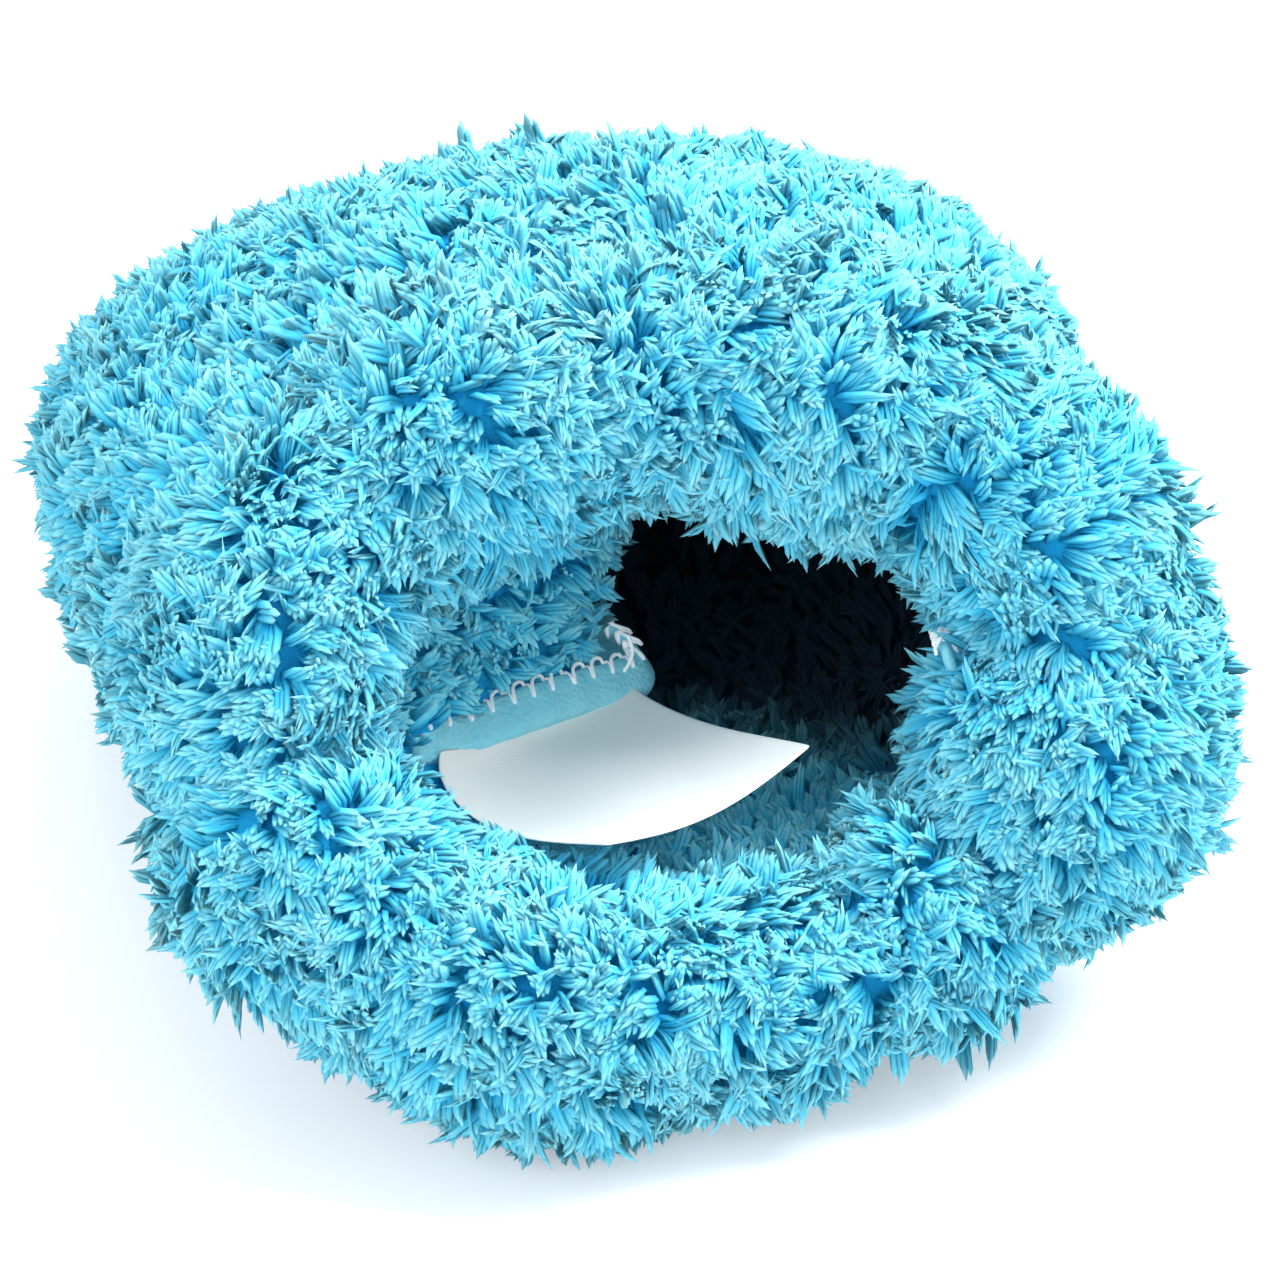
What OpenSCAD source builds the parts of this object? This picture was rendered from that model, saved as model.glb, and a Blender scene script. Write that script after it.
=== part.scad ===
// Lined plush grooming mitt, lying on its palm with the elasticated mouth toward -Y.
// Millimetres, +Z up, +Y toward the finger end. The origin is under the middle of its box.
// Each plush solid is backing and pile together, as the pile stands uncombed.

/* [Mouth and cuff] */
// Half width of the mouth, to the middle of the rolled cuff
mouth_half_width = 58.5; // [54:0.5:64]
// Half height of the mouth along its lean, to the middle of the rolled cuff
mouth_half_height = 43; // [40:0.5:46]
// Lean of the mouth back from upright, in degrees
mouth_lean = 31; // [26:1:36]
// Thickness of the rolled cuff in the plane of the mouth
roll_thickness = 40; // [36:1:44]
// Depth of the rolled cuff along the hand
roll_depth = 43; // [40:1:46]
// Number of gathers that the elastic pulls into the cuff
gathers = 8; // [4:2:10]
// Height of each gather above and below the even roll
gather_depth = 0.9; // [0:0.1:1.6]

/* [Body] */
// Whole length, from the front of the cuff to the finger end
mitt_length = 245; // [235:1:260]
// Width just behind the cuff
wrist_width = 146; // [140:1:152]
// Width over the heel of the hand
heel_width = 170; // [162:1:176]
// Width over the knuckles
knuckle_width = 175; // [168:1:184]
// Width at the finger tips, before the end is rounded
finger_width = 162; // [152:1:170]
// Height just behind the cuff
wrist_height = 102; // [98:1:106]
// Height over the heel of the hand
heel_height = 106; // [102:1:110]
// Height over the knuckles
knuckle_height = 89; // [84:1:94]
// Height at the finger tips, before the end is rounded
finger_height = 65; // [62:1:70]
// Length of the rounded finger end
finger_round = 54; // [46:1:62]
// How far the underside is pressed flat by its own weight
underside_sag = 2.5; // [1:0.5:4]

/* [Plush] */
// Thickness of the outer plush
outer_plush = 13; // [10:0.5:14]
// Thickness of the lining plush
lining_plush = 11; // [9:0.5:12]
// Room between the outer plush and the loose lining
lining_room = 1; // [0.8:0.1:2]
// Gap left between pieces that are sewn together
seam_gap = 0.3; // [0.2:0.05:0.5]

/* [Lining fold] */
// How far the loose lining bunches in from the left
fold_reach = 48; // [40:1:52]
// How far the bunched seam sags
fold_drop = 3; // [0:0.5:6]
// Distance of the fold's crest behind the mouth
fold_at = 33; // [31:1:40]
// Spread of the fold along the hand
fold_spread = 18; // [16:1:24]

/* [Elastic] */
// Width of the elastic in the cuff
elastic_width = 12; // [8:1:14]
// Thickness of the elastic
elastic_thickness = 1.6; // [1:0.1:2.5]

/* [Inner seam] */
// Width of the seam allowance that stands into the hand cavity
allowance_width = 6; // [4:0.5:8]
// Thickness of the two backings that make the allowance
allowance_thickness = 2; // [1.5:0.1:3]
// Width of the overlock thread wrapped over the edge of the allowance
overlock_width = 1.2; // [0.8:0.1:2]
// Thickness of the allowance with the overlock thread round it
overlock_thickness = 2.6; // [2.2:0.1:4]

/* [Label] */
// Length of the label's sewn edge
label_width = 36; // [30:1:38]
// Length of the label from its sewn edge to its free edge
label_length = 40; // [34:1:42]
// Thickness of the woven label
label_thickness = 0.5; // [0.3:0.1:0.8]
// Distance of the label's near end along the seam from the start of the allowance
label_start = 0; // [0:0.5:4]
// How far the label's near end hangs below the seam
label_hang = 3; // [1:0.5:4]
// Rise of the label toward its free edge, where the pile holds it up, in degrees
label_rise = 9; // [6:1:12]

/* [Hidden] */

around = 20;             // steps round each half of a section
roll_steps = 20;         // steps round the section of the rolled cuff
hand_steps = 10;         // steps along the hand to the rounded finger end
end_steps = 6;           // steps over the rounded finger end
end_share = 0.998;       // share of the finger end's curve that the sections follow
seat = 1.1;              // ends of a plush edge stand this far off the roll, so its middle clears it
back_start = 0;          // the back halves run over the top from the right side
palm_start = 180;        // the palm halves run under the hand from the left side
under_turn = 17;         // degrees that the plush edges shift round the roll under the hand
strip_stand = 1.9;       // foot of the allowance from the lining
strip_first = 0.25;      // start of the side allowances, from the cuff to the first section
plan_power = 2.6;        // bluntness of the finger end seen from above

// ---- Smooth values along the hand ----

// Slope of column c of a table at row i
function slope(rows, i, c) =
    let (low = max(i - 1, 0), high = min(i + 1, len(rows) - 1))
    (rows[high][c] - rows[low][c]) / (rows[high][0] - rows[low][0]);

// Row of the table that x follows
function row_before(rows, x, i = 0) =
    (i >= len(rows) - 2 || x <= rows[i + 1][0]) ? i : row_before(rows, x, i + 1);

// Column c of a table at x, on a smooth curve through its rows
function along(rows, x, c) =
    let (
        i = row_before(rows, x),
        step = rows[i + 1][0] - rows[i][0],
        t = (x - rows[i][0]) / step
    )
    (2 * t ^ 3 - 3 * t ^ 2 + 1) * rows[i][c] + (t ^ 3 - 2 * t ^ 2 + t) * step * slope(rows, i, c)
    + (3 * t ^ 2 - 2 * t ^ 3) * rows[i + 1][c] + (t ^ 3 - t ^ 2) * step * slope(rows, i + 1, c);

// ---- Rolled cuff ----

roll_radial = roll_thickness / 2;
roll_axial = roll_depth / 2;
lean_in = [0, sin(mouth_lean), cos(mouth_lean)];    // up along the leaning mouth
lean_out = [0, -cos(mouth_lean), sin(mouth_lean)];  // out of the mouth

// Height of the mouth's middle, with the underside pressed flat on z = 0
mouth_z = mouth_half_height * cos(mouth_lean) - underside_sag
    + norm([roll_radial * cos(mouth_lean), roll_axial * sin(mouth_lean)]);

// Outward direction in the plane of the mouth at angle u round it
function mouth_normal(u) =
    let (n = [mouth_half_height * cos(u), mouth_half_width * sin(u)] / norm([
        mouth_half_height * cos(u), mouth_half_width * sin(u)]))
    [n[0], 0, 0] + n[1] * lean_in;

// The gathers swell the roll and dip at the two side seams
function swell(u) = -gather_depth * cos(gathers * u);

// Place on the roll at u round the mouth and v round its section, from the mouth's middle:
// v is 0 outward, 90 to the front, 180 into the mouth and 270 to the back
function roll_place(u, v, radial, axial) =
    [mouth_half_width * cos(u), 0, 0] + mouth_half_height * sin(u) * lean_in
    + radial * cos(v) * mouth_normal(u) + axial * sin(v) * lean_out;

// Distance of the cuff's front from the mouth's middle
cuff_front = max([for (k = [0:2 * around - 1], j = [0:roll_steps - 1])
    let (u = 180 * k / around)
    -roll_place(u, 360 * j / roll_steps, roll_radial + swell(u), roll_axial + swell(u))[1]]);
mouth_y = cuff_front - mitt_length / 2;
mouth = [0, mouth_y, mouth_z];

// Under the hand the plush edges meet the roll further round its section, clear of the ground
function edge_turn(u) = -under_turn * max(-sin(u), 0);

// Surface of the roll, grown by a distance
function cuff_point(u, v, grow) =
    let (p = mouth + roll_place(u, v, roll_radial + swell(u) + grow, roll_axial + swell(u) + grow))
    [p[0], p[1], max(p[2], 0)];

// ---- Body ----

hand_end = mitt_length / 2 - mouth_y;
finger_start = hand_end - finger_round;
wrist_at = roll_axial / cos(mouth_lean) + 3.5;
heel_at = 0.36 * hand_end;
knuckle_at = 0.6 * hand_end;
finger_at = 0.89 * hand_end;

// Distance behind the mouth, half width, half height and lean of the section
body_rows = [
    [wrist_at, wrist_width / 2, wrist_height / 2, 0.95 * mouth_lean],
    [heel_at, heel_width / 2, heel_height / 2, 0.7 * mouth_lean],
    [knuckle_at, knuckle_width / 2, knuckle_height / 2, 0.35 * mouth_lean],
    [finger_at, finger_width / 2, finger_height / 2, 0.1 * mouth_lean]
];

// Distances of the sections of a layer that lies inset from the outside
function section_places(inset) =
    let (end = hand_end - inset, first = wrist_at + 2)
    concat(
        [for (i = [0:hand_steps - 1]) first + (finger_start - first) * (i / hand_steps) ^ 1.3],
        [for (i = [0:end_steps]) finger_start + (end - finger_start) * sin(90 * i / end_steps)]
    );

// How far round the finger end a section lies: the last one stays just open, at end_share
function end_turn(d, inset) =
    end_share * max(d - finger_start, 0) / (hand_end - inset - finger_start);

// What the rounded end leaves of a section's width and height
function end_width(d, inset) = (1 - end_turn(d, inset) ^ plan_power) ^ (1 / plan_power);
function end_height(d, inset) = sqrt(1 - end_turn(d, inset) ^ 2);

// Height of the side seams above the ground
function seam_z(d) = along(body_rows, d, 2) * cos(along(body_rows, d, 3)) - underside_sag;

// The lining bunches in from the left by this much
function fold(d) = fold_reach * exp(-((d - fold_at) / fold_spread) ^ 2);

// Point of a section of a layer, inset from the outside. A fold pushes its left side in by a
// distance, within the same outline. The side seams are at u = 0 on the right and 180 on the left.
function body_point(d, u, inset, push) =
    let (
        half_width = (along(body_rows, d, 1) - inset) * end_width(d, inset),
        half_height = (along(body_rows, d, 2) - inset) * end_height(d, inset),
        lean = along(body_rows, d, 3),
        x = (half_width - push / 2) * cos(u) + push / 2,
        outline = sqrt(max(1 - (x / half_width) ^ 2, 0)),
        rise = half_height * sign(sin(u)) * min(abs(sin(u)), outline),
        sag = fold_drop * push / fold_reach * max(-cos(u), 0) ^ 2
    )
    [x, mouth_y + d + rise * sin(lean), max(seam_z(d) + rise * cos(lean) - sag, inset)];

// Rows of half sections of a layer, the first of them on the back of the roll
function layer_rows(start, inset, roll_angle, folded) =
    concat(
        [[for (k = [0:around]) let (u = start + 180 * k / around)
            cuff_point(u, roll_angle + edge_turn(u), seat)]],
        [for (d = section_places(inset)) [for (k = [0:around])
            body_point(d, start + 180 * k / around, inset, folded ? fold(d) : 0)]]
    );

// Closed half shell between an outer and an inner list of rows
module half_shell(outer, inner) {
    rows = len(outer);
    last = rows - 1;
    side = len(outer[0]) - 1;
    function out(i, k) = i * (side + 1) + k;
    function in(i, k) = (rows + i) * (side + 1) + k;
    skins = [for (i = [0:last - 1], k = [0:side - 1]) each [
        [out(i, k), out(i, k + 1), out(i + 1, k + 1)],
        [out(i, k), out(i + 1, k + 1), out(i + 1, k)],
        [in(i, k), in(i + 1, k), in(i + 1, k + 1)],
        [in(i, k), in(i + 1, k + 1), in(i, k + 1)]
    ]];
    front = [for (k = [0:side - 1]) each [
        [out(0, k), in(0, k), in(0, k + 1)],
        [out(0, k), in(0, k + 1), out(0, k + 1)]
    ]];
    seams = [for (i = [0:last - 1]) each [
        [out(i, 0), out(i + 1, 0), in(i, 0)],
        [out(i + 1, 0), in(i + 1, 0), in(i, 0)],
        [out(i + 1, side), out(i, side), in(i, side)],
        [out(i + 1, side), in(i, side), in(i + 1, side)]
    ]];
    ends = [for (k = [1:side - 1]) each [
        [out(last, 0), out(last, k), out(last, k + 1)],
        [in(last, 0), in(last, k + 1), in(last, k)]
    ]];
    end_seam = [
        [out(last, 0), out(last, side), in(last, side)],
        [out(last, 0), in(last, side), in(last, 0)]
    ];
    polyhedron(
        points = concat([for (row = outer) each row], [for (row = inner) each row]),
        faces = concat(skins, front, seams, ends, end_seam)
    );
}

// Closed tube through a list of rings of points, open or closed on itself
module sweep(rings, closed = false) {
    turns = len(rings);
    sides = len(rings[0]);
    function at(i, j) = (i % turns) * sides + j % sides;
    walls = [for (i = [0:(closed ? turns : turns - 1) - 1], j = [0:sides - 1]) each [
        [at(i, j), at(i, j + 1), at(i + 1, j + 1)],
        [at(i, j), at(i + 1, j + 1), at(i + 1, j)]
    ]];
    caps = closed ? [] : [
        for (j = [1:sides - 2]) each [
            [at(0, 0), at(0, j + 1), at(0, j)],
            [at(turns - 1, 0), at(turns - 1, j), at(turns - 1, j + 1)]
        ]
    ];
    polyhedron(points = [for (ring = rings) each ring], faces = concat(walls, caps));
}

// ---- Outer plush ----

module back_panel() {
    color("deepskyblue")
    translate([0, 0, seam_gap])
        half_shell(layer_rows(back_start, 0, -45, false),
            layer_rows(back_start, outer_plush, -77, false));
}

module palm_panel() {
    color("deepskyblue")
        half_shell(layer_rows(palm_start, 0, -45, false),
            layer_rows(palm_start, outer_plush, -77, false));
}

// ---- Lining ----

lining_angle = -133;     // where the lining's pile side meets the roll, round its section
lining_inset = outer_plush + lining_room;
cavity_inset = lining_inset + lining_plush;

module back_lining() {
    color("skyblue")
    translate([0, 0, seam_gap])
        half_shell(layer_rows(back_start, lining_inset, -103, true),
            layer_rows(back_start, cavity_inset, lining_angle, true));
}

module palm_lining() {
    color("skyblue")
        half_shell(layer_rows(palm_start, lining_inset, -103, true),
            layer_rows(palm_start, cavity_inset, lining_angle, true));
}

// ---- Cuff and elastic ----

// Half of the roll, with the flat channel for the elastic inside it
module cuff_half(start) {
    channel_radial = elastic_thickness / 2 + seam_gap;
    channel_axial = elastic_width / 2 + seam_gap;
    rings = around + 1;
    steps = roll_steps;
    outer = [for (k = [0:around], j = [0:steps - 1])
        cuff_point(start + 180 * k / around, 360 * j / steps, 0)];
    inner = [for (k = [0:around], j = [0:steps - 1])
        mouth + roll_place(start + 180 * k / around, 360 * j / steps, channel_radial, channel_axial)];
    function out(k, j) = k * steps + j % steps;
    function in(k, j) = (rings + k) * steps + j % steps;
    skins = [for (k = [0:around - 1], j = [0:steps - 1]) each [
        [out(k, j), out(k, j + 1), out(k + 1, j + 1)],
        [out(k, j), out(k + 1, j + 1), out(k + 1, j)],
        [in(k, j), in(k + 1, j), in(k + 1, j + 1)],
        [in(k, j), in(k + 1, j + 1), in(k, j + 1)]
    ]];
    ends = [for (j = [0:steps - 1]) each [
        [out(0, j), in(0, j), in(0, j + 1)],
        [out(0, j), in(0, j + 1), out(0, j + 1)],
        [out(around, j + 1), in(around, j + 1), in(around, j)],
        [out(around, j + 1), in(around, j), out(around, j)]
    ]];
    polyhedron(points = concat(outer, inner), faces = concat(skins, ends));
}

module cuff_back() {
    color("skyblue")
    translate([0, 0, seam_gap])
        cuff_half(back_start);
}

module cuff_palm() {
    color("skyblue")
        cuff_half(palm_start);
}

module wrist_elastic() {
    color("white")
    translate([0, 0, seam_gap / 2])
        sweep([for (k = [0:2 * around - 1]) [for (j = [0:11])
            mouth + roll_place(180 * k / around, 30 * j, elastic_thickness / 2, elastic_width / 2)
        ]], closed = true);
}

// ---- Inner seam ----

// Sections that the cavity's side seam passes: each a distance behind the mouth and a side's angle.
// It runs up the left side, round the finger end and down the right side.
seam_places = section_places(cavity_inset);
seam_count = len(seam_places);
seam_stations = concat(
    [for (d = seam_places) [d, 180]],
    [for (i = [1:seam_count]) [seam_places[seam_count - i], 0]]
);

// Turn round a section of a half height that rises by h from the side seam at angle u
function climb(u, h, half_height) = (u == 0 ? 1 : -1) * asin(min(h / half_height, 1));

// Point of the cavity's wall at a height above the side seam, in a section or on the cuff
function wall_point(station, h) =
    let (d = station[0], u = station[1])
    body_point(d, u + climb(u, h, (along(body_rows, d, 2) - cavity_inset)
        * end_height(d, cavity_inset)), cavity_inset, fold(d));
function cuff_wall_point(u, h) = cuff_point(u + climb(u, h, mouth_half_height), lining_angle, seat);

// The whole seam as points at a height above it, from just behind the cuff back to just behind it
function seam_points(h) = concat(
    [cuff_wall_point(180, h) + strip_first * (wall_point([seam_places[0], 180], h)
        - cuff_wall_point(180, h))],
    [for (station = seam_stations) wall_point(station, h)],
    [cuff_wall_point(0, h) + strip_first * (wall_point([seam_places[0], 0], h)
        - cuff_wall_point(0, h))]
);
seam_line = seam_points(0);
seam_top = seam_points(allowance_width);
seam_last = len(seam_line) - 1;

// Direction along the seam at point i, level with the ground
function seam_way(i) =
    let (step = seam_line[min(i + 1, seam_last)] - seam_line[max(i - 1, 0)])
    [step[0], step[1], 0] / norm([step[0], step[1]]);

// How far the allowance has turned from lying up the wall to lying flat in the finger end
function seam_flat(i) =
    let (t = (seam_line[i][1] - mouth_y - heel_at) / (finger_start - heel_at), c = min(max(t, 0), 1))
    c * c * (3 - 2 * c);

// Strip along part of the seam, between two widths up from it and of a thickness about its middle
module seam_strip(from, to, near, far, thickness) {
    sweep([for (i = [from:to])
        let (
            way = seam_way(i),
            inward = [way[1], -way[0], 0],
            wall = (seam_top[i] - seam_line[i]) / norm(seam_top[i] - seam_line[i]),
            lie = (1 - seam_flat(i)) * wall + seam_flat(i) * inward,
            up = lie / norm(lie),
            across = cross(way, up) / norm(cross(way, up)),
            foot = seam_line[i] + [0, 0, seam_gap / 2] + strip_stand * inward
                + allowance_thickness / 2 * (1 - seam_flat(i)) * across,
            half = thickness / 2 * across
        )
        [
            foot + near * up + half, foot + far * up + half,
            foot + far * up - half, foot + near * up - half
        ]
    ]);
}

overlock_near = allowance_width + 3 * seam_gap;
overlock_far = overlock_near + overlock_width;
left_last = hand_steps + 1;
right_first = seam_last - left_last;

module left_seam_allowance() {
    color("powderblue")
        seam_strip(0, left_last, 0, allowance_width, allowance_thickness);
}

module right_seam_allowance() {
    color("powderblue")
        seam_strip(right_first, seam_last, 0, allowance_width, allowance_thickness);
}

module end_seam_allowance() {
    color("powderblue")
        seam_strip(left_last, right_first, 0, allowance_width, allowance_thickness);
}

module left_overlock() {
    color("white")
        seam_strip(0, left_last, overlock_near, overlock_far, overlock_thickness);
}

module right_overlock() {
    color("white")
        seam_strip(right_first, seam_last, overlock_near, overlock_far,
            overlock_thickness);
}

module end_overlock() {
    color("white")
        seam_strip(left_last, right_first, overlock_near, overlock_far,
            overlock_thickness);
}

// ---- Label ----

// The sewn edge runs beside the foot of the left allowance, from the cuff into the mitt
label_seam = seam_line[1] - seam_line[0];
label_yaw = atan2(label_seam[1], label_seam[0]);
label_room = strip_stand + allowance_thickness - 2 * seam_gap;
hinge_near = seam_line[0] + label_start * label_seam / norm(label_seam)
    + label_room * [sin(label_yaw), -cos(label_yaw), 0] - [0, 0, label_hang];
label_pitch = asin((label_seam[2] / norm(label_seam) * label_width + label_hang) / label_width);

module care_label() {
    color("whitesmoke")
    translate(hinge_near)
    rotate([-label_rise, -label_pitch, label_yaw])
    translate([0, -label_length, -label_thickness / 2])
    linear_extrude(label_thickness)
        square([label_width, label_length]);
}

back_panel();
palm_panel();
back_lining();
palm_lining();
cuff_back();
cuff_palm();
wrist_elastic();
left_seam_allowance();
right_seam_allowance();
end_seam_allowance();
left_overlock();
right_overlock();
end_overlock();
care_label();
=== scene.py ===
import math

import bpy
import numpy as np
from mathutils import Matrix, Vector
from mathutils.bvhtree import BVHTree
from mathutils.kdtree import KDTree


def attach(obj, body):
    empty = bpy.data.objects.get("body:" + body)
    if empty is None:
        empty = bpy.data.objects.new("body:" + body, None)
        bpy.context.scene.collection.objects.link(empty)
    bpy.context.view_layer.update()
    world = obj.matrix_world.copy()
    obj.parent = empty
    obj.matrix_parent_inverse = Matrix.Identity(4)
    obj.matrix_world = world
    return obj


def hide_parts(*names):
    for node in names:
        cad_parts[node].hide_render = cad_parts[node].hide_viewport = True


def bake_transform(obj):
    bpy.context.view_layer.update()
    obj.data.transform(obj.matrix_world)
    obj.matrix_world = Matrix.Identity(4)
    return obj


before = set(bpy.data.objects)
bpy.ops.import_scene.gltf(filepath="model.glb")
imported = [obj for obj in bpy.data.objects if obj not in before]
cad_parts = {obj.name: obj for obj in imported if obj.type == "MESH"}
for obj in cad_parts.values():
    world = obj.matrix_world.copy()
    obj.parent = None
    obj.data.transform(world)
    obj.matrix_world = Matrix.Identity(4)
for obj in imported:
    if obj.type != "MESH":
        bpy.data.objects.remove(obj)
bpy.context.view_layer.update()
scene = bpy.context.scene
print("frame loaded")


# camera, room and light

cameraSet = {
    "azimuth": -8.365, "elevation": 29.867, "roll": -3.891,  # degrees
    "distance": 0.475832,
    "aim": (-0.001847, -0.062128, 0.052845),
    "lens": 93.35, "sensor": 36.0,
}


def addCamera(s):
    azimuth, elevation, roll = (math.radians(s[k]) for k in ("azimuth", "elevation", "roll"))
    back = Vector((math.sin(azimuth) * math.cos(elevation),
                   -math.cos(azimuth) * math.cos(elevation), math.sin(elevation)))
    level = Vector((math.cos(azimuth), math.sin(azimuth), 0))
    rise = back.cross(level)
    right = level * math.cos(roll) + rise * math.sin(roll)
    up = rise * math.cos(roll) - level * math.sin(roll)
    turn = Matrix((right, up, back)).transposed()
    bpy.ops.object.camera_add(location=Vector(s["aim"]) + back * s["distance"],
                              rotation=turn.to_euler())
    camera = bpy.context.object
    camera.data.sensor_width = s["sensor"]
    camera.data.lens = s["lens"]
    camera.data.clip_start = 0.01
    scene.camera = camera


addCamera(cameraSet)
scene.view_settings.view_transform = "Standard"


# shader maths

class Wire:
    def __init__(self, shader, socket):
        self.shader = shader
        self.socket = socket

    def maths(self, kind, first, second):
        return self.shader.node("ShaderNodeMath", {"operation": kind}, {0: first, 1: second})

    def __add__(self, other):
        return self.maths("ADD", self, other)

    def __radd__(self, other):
        return self.maths("ADD", other, self)

    def __sub__(self, other):
        return self.maths("SUBTRACT", self, other)

    def __rsub__(self, other):
        return self.maths("SUBTRACT", other, self)

    def __mul__(self, other):
        return self.maths("MULTIPLY", self, other)

    def __rmul__(self, other):
        return self.maths("MULTIPLY", other, self)

    def __pow__(self, other):
        return self.maths("POWER", self, other)


class Shader:
    def __init__(self, name):
        self.material = bpy.data.materials.new(name)
        self.material.use_nodes = True
        self.tree = self.material.node_tree
        self.tree.nodes.clear()
        self.out = self.tree.nodes.new("ShaderNodeOutputMaterial")

    def node(self, kind, settings=None, sockets=None, out=0):
        made = self.tree.nodes.new(kind)
        for key, value in (settings or {}).items():
            if key == "stops":
                ramp = made.color_ramp
                while len(ramp.elements) < len(value):
                    ramp.elements.new(0.5)
                for element, (place, colour) in zip(ramp.elements, value):
                    element.position = place
                    element.color = (*colour, 1)
            else:
                setattr(made, key, value)
        for key, value in (sockets or {}).items():
            if isinstance(value, Wire):
                self.tree.links.new(value.socket, made.inputs[key])
            else:
                made.inputs[key].default_value = value
        return Wire(self, made.outputs[out])

    def surface(self, wire):
        self.tree.links.new(wire.socket, self.out.inputs["Surface"])
        return self.material

    def noise(self, where, scale, detail=2.0, rough=0.5):
        return self.node("ShaderNodeTexNoise", {},
                         {"Vector": where, "Scale": scale, "Detail": detail, "Roughness": rough})

    def objectPlace(self):
        return self.node("ShaderNodeTexCoord", {}, {}, out="Object")

    def bump(self, height, strength, distance):
        return self.node("ShaderNodeBump", {},
                         {"Height": height, "Strength": strength, "Distance": distance})

    def mix(self, factor, a, b, blend="MIX"):
        return self.node("ShaderNodeMix", {"data_type": "RGBA", "blend_type": blend},
                         {0: factor, 6: a, 7: b}, out=2)

    def cloth(self, colour, normal, rough, sheen, paintedGlow=0.0):
        return self.surface(self.node("ShaderNodeBsdfPrincipled", {}, {
            "Base Color": colour, "Normal": normal, "Roughness": rough,
            "Specular IOR Level": 0.15, "Sheen Weight": sheen, "Sheen Roughness": 0.45,
            "Emission Color": colour, "Emission Strength": paintedGlow}))  # painted light: the surface glows in its own colour by this strength, lifting its shade


roomSet = {
    "floorHalf": 4.0,
    "floorGlow": 0.34, "floorColour": (0.86, 0.86, 0.87, 1),
    "skyLight": 0.85, "skyColour": (1.0, 1.0, 1.0, 1),
    "lamps": [  # place, size, watts
        ((0.55, -0.15, 0.95), 0.55, 13.0),
        ((-0.75, -0.75, 0.75), 0.9, 4.0),
        ((0.15, 0.9, 0.7), 0.8, 5.0),
    ],
    "lampAim": (0.0, -0.03, 0.05),
}


def seenRay(shader):
    path = shader.node("ShaderNodeLightPath")
    outputs = path.socket.node.outputs
    rays = [Wire(shader, outputs[k]) for k in ("Is Camera Ray", "Is Glossy Ray", "Is Transmission Ray")]
    total = rays[0] + rays[1] + rays[2]
    return total.maths("MINIMUM", total, 1.0)


def addRoom(s):
    bpy.ops.mesh.primitive_plane_add(size=2 * s["floorHalf"])
    floor = bpy.context.object
    floor.name = "floor"
    shader = Shader("floorWhite")
    lit = shader.node("ShaderNodeBsdfDiffuse", {}, {"Color": s["floorColour"]})
    glow = shader.node("ShaderNodeEmission", {}, {"Strength": seenRay(shader) * s["floorGlow"]})
    floor.data.materials.append(shader.surface(shader.node("ShaderNodeAddShader", {}, {0: lit, 1: glow})))

    world = bpy.data.worlds.new("softRoom")
    world.use_nodes = True
    scene.world = world
    nodes, links = world.node_tree.nodes, world.node_tree.links
    nodes.clear()
    sky = nodes.new("ShaderNodeBackground")
    sky.inputs["Color"].default_value = s["skyColour"]
    sky.inputs["Strength"].default_value = s["skyLight"]
    white = nodes.new("ShaderNodeBackground")
    white.inputs["Strength"].default_value = 1.0
    path = nodes.new("ShaderNodeLightPath")
    either = nodes.new("ShaderNodeMath")
    either.operation = "MAXIMUM"
    pick = nodes.new("ShaderNodeMixShader")
    out = nodes.new("ShaderNodeOutputWorld")
    links.new(path.outputs["Is Camera Ray"], either.inputs[0])
    links.new(path.outputs["Is Transmission Ray"], either.inputs[1])
    links.new(either.outputs[0], pick.inputs[0])
    links.new(sky.outputs[0], pick.inputs[1])
    links.new(white.outputs[0], pick.inputs[2])
    links.new(pick.outputs[0], out.inputs["Surface"])

    for place, size, watts in s["lamps"]:
        facing = (Vector(place) - Vector(s["lampAim"])).to_track_quat("Z", "Y")
        bpy.ops.object.light_add(type="AREA", location=place, rotation=facing.to_euler())
        lamp = bpy.context.object
        lamp.data.size = size
        lamp.data.energy = watts


addRoom(roomSet)
print("camera and room ready")


# shapes that the skins follow

rollSet = {
    "middle": (0.0, -0.0799195, 0.0547668),
    "halfWidth": 0.0585, "halfHeight": 0.043, "lean": math.radians(31),
    "radial": 0.020, "axial": 0.0215,
    "gathers": 8, "gatherDepth": 0.0009,
    "underTurn": math.radians(17),
    "creases": [  # angle round the mouth, half width, depth, all but the last rows pulled in
        (math.radians(-71), math.radians(10), 0.0060),
        (math.radians(-50), math.radians(5), 0.0036),
        (math.radians(-92), math.radians(7), 0.0012),
        (math.radians(184), math.radians(7), 0.0034),
        (math.radians(128), math.radians(7), 0.0015),
        (math.radians(-26), math.radians(15), -0.0034),
        (math.radians(62), math.radians(16), -0.0028),
        (math.radians(-118), math.radians(16), -0.0018),
    ],
}
bodySet = {
    "rows": np.array([  # distance behind the mouth, half width, half height, lean
        [0.028582, 0.0730, 0.0510, math.radians(29.45)],
        [0.072871, 0.0850, 0.0530, math.radians(21.70)],
        [0.121452, 0.0875, 0.0445, math.radians(10.85)],
        [0.180154, 0.0810, 0.0325, math.radians(3.10)]]),
    "first": 0.030582, "roundFrom": 0.148420, "end": 0.202420,
    "planPower": 2.6, "endShare": 0.9992, "sag": 0.0025,
    "foldReach": 0.048, "foldDrop": 0.003, "foldAt": 0.033, "foldSpread": 0.018,
}
leanIn = np.array([0.0, math.sin(rollSet["lean"]), math.cos(rollSet["lean"])])
leanOut = np.array([0.0, -math.cos(rollSet["lean"]), math.sin(rollSet["lean"])])
mouthMiddle = np.array(rollSet["middle"])


def unit(v):
    return v / np.maximum(np.linalg.norm(v, axis=-1, keepdims=True), 1e-12)


def dot(a, b):
    return (a * b).sum(-1, keepdims=True)


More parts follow.
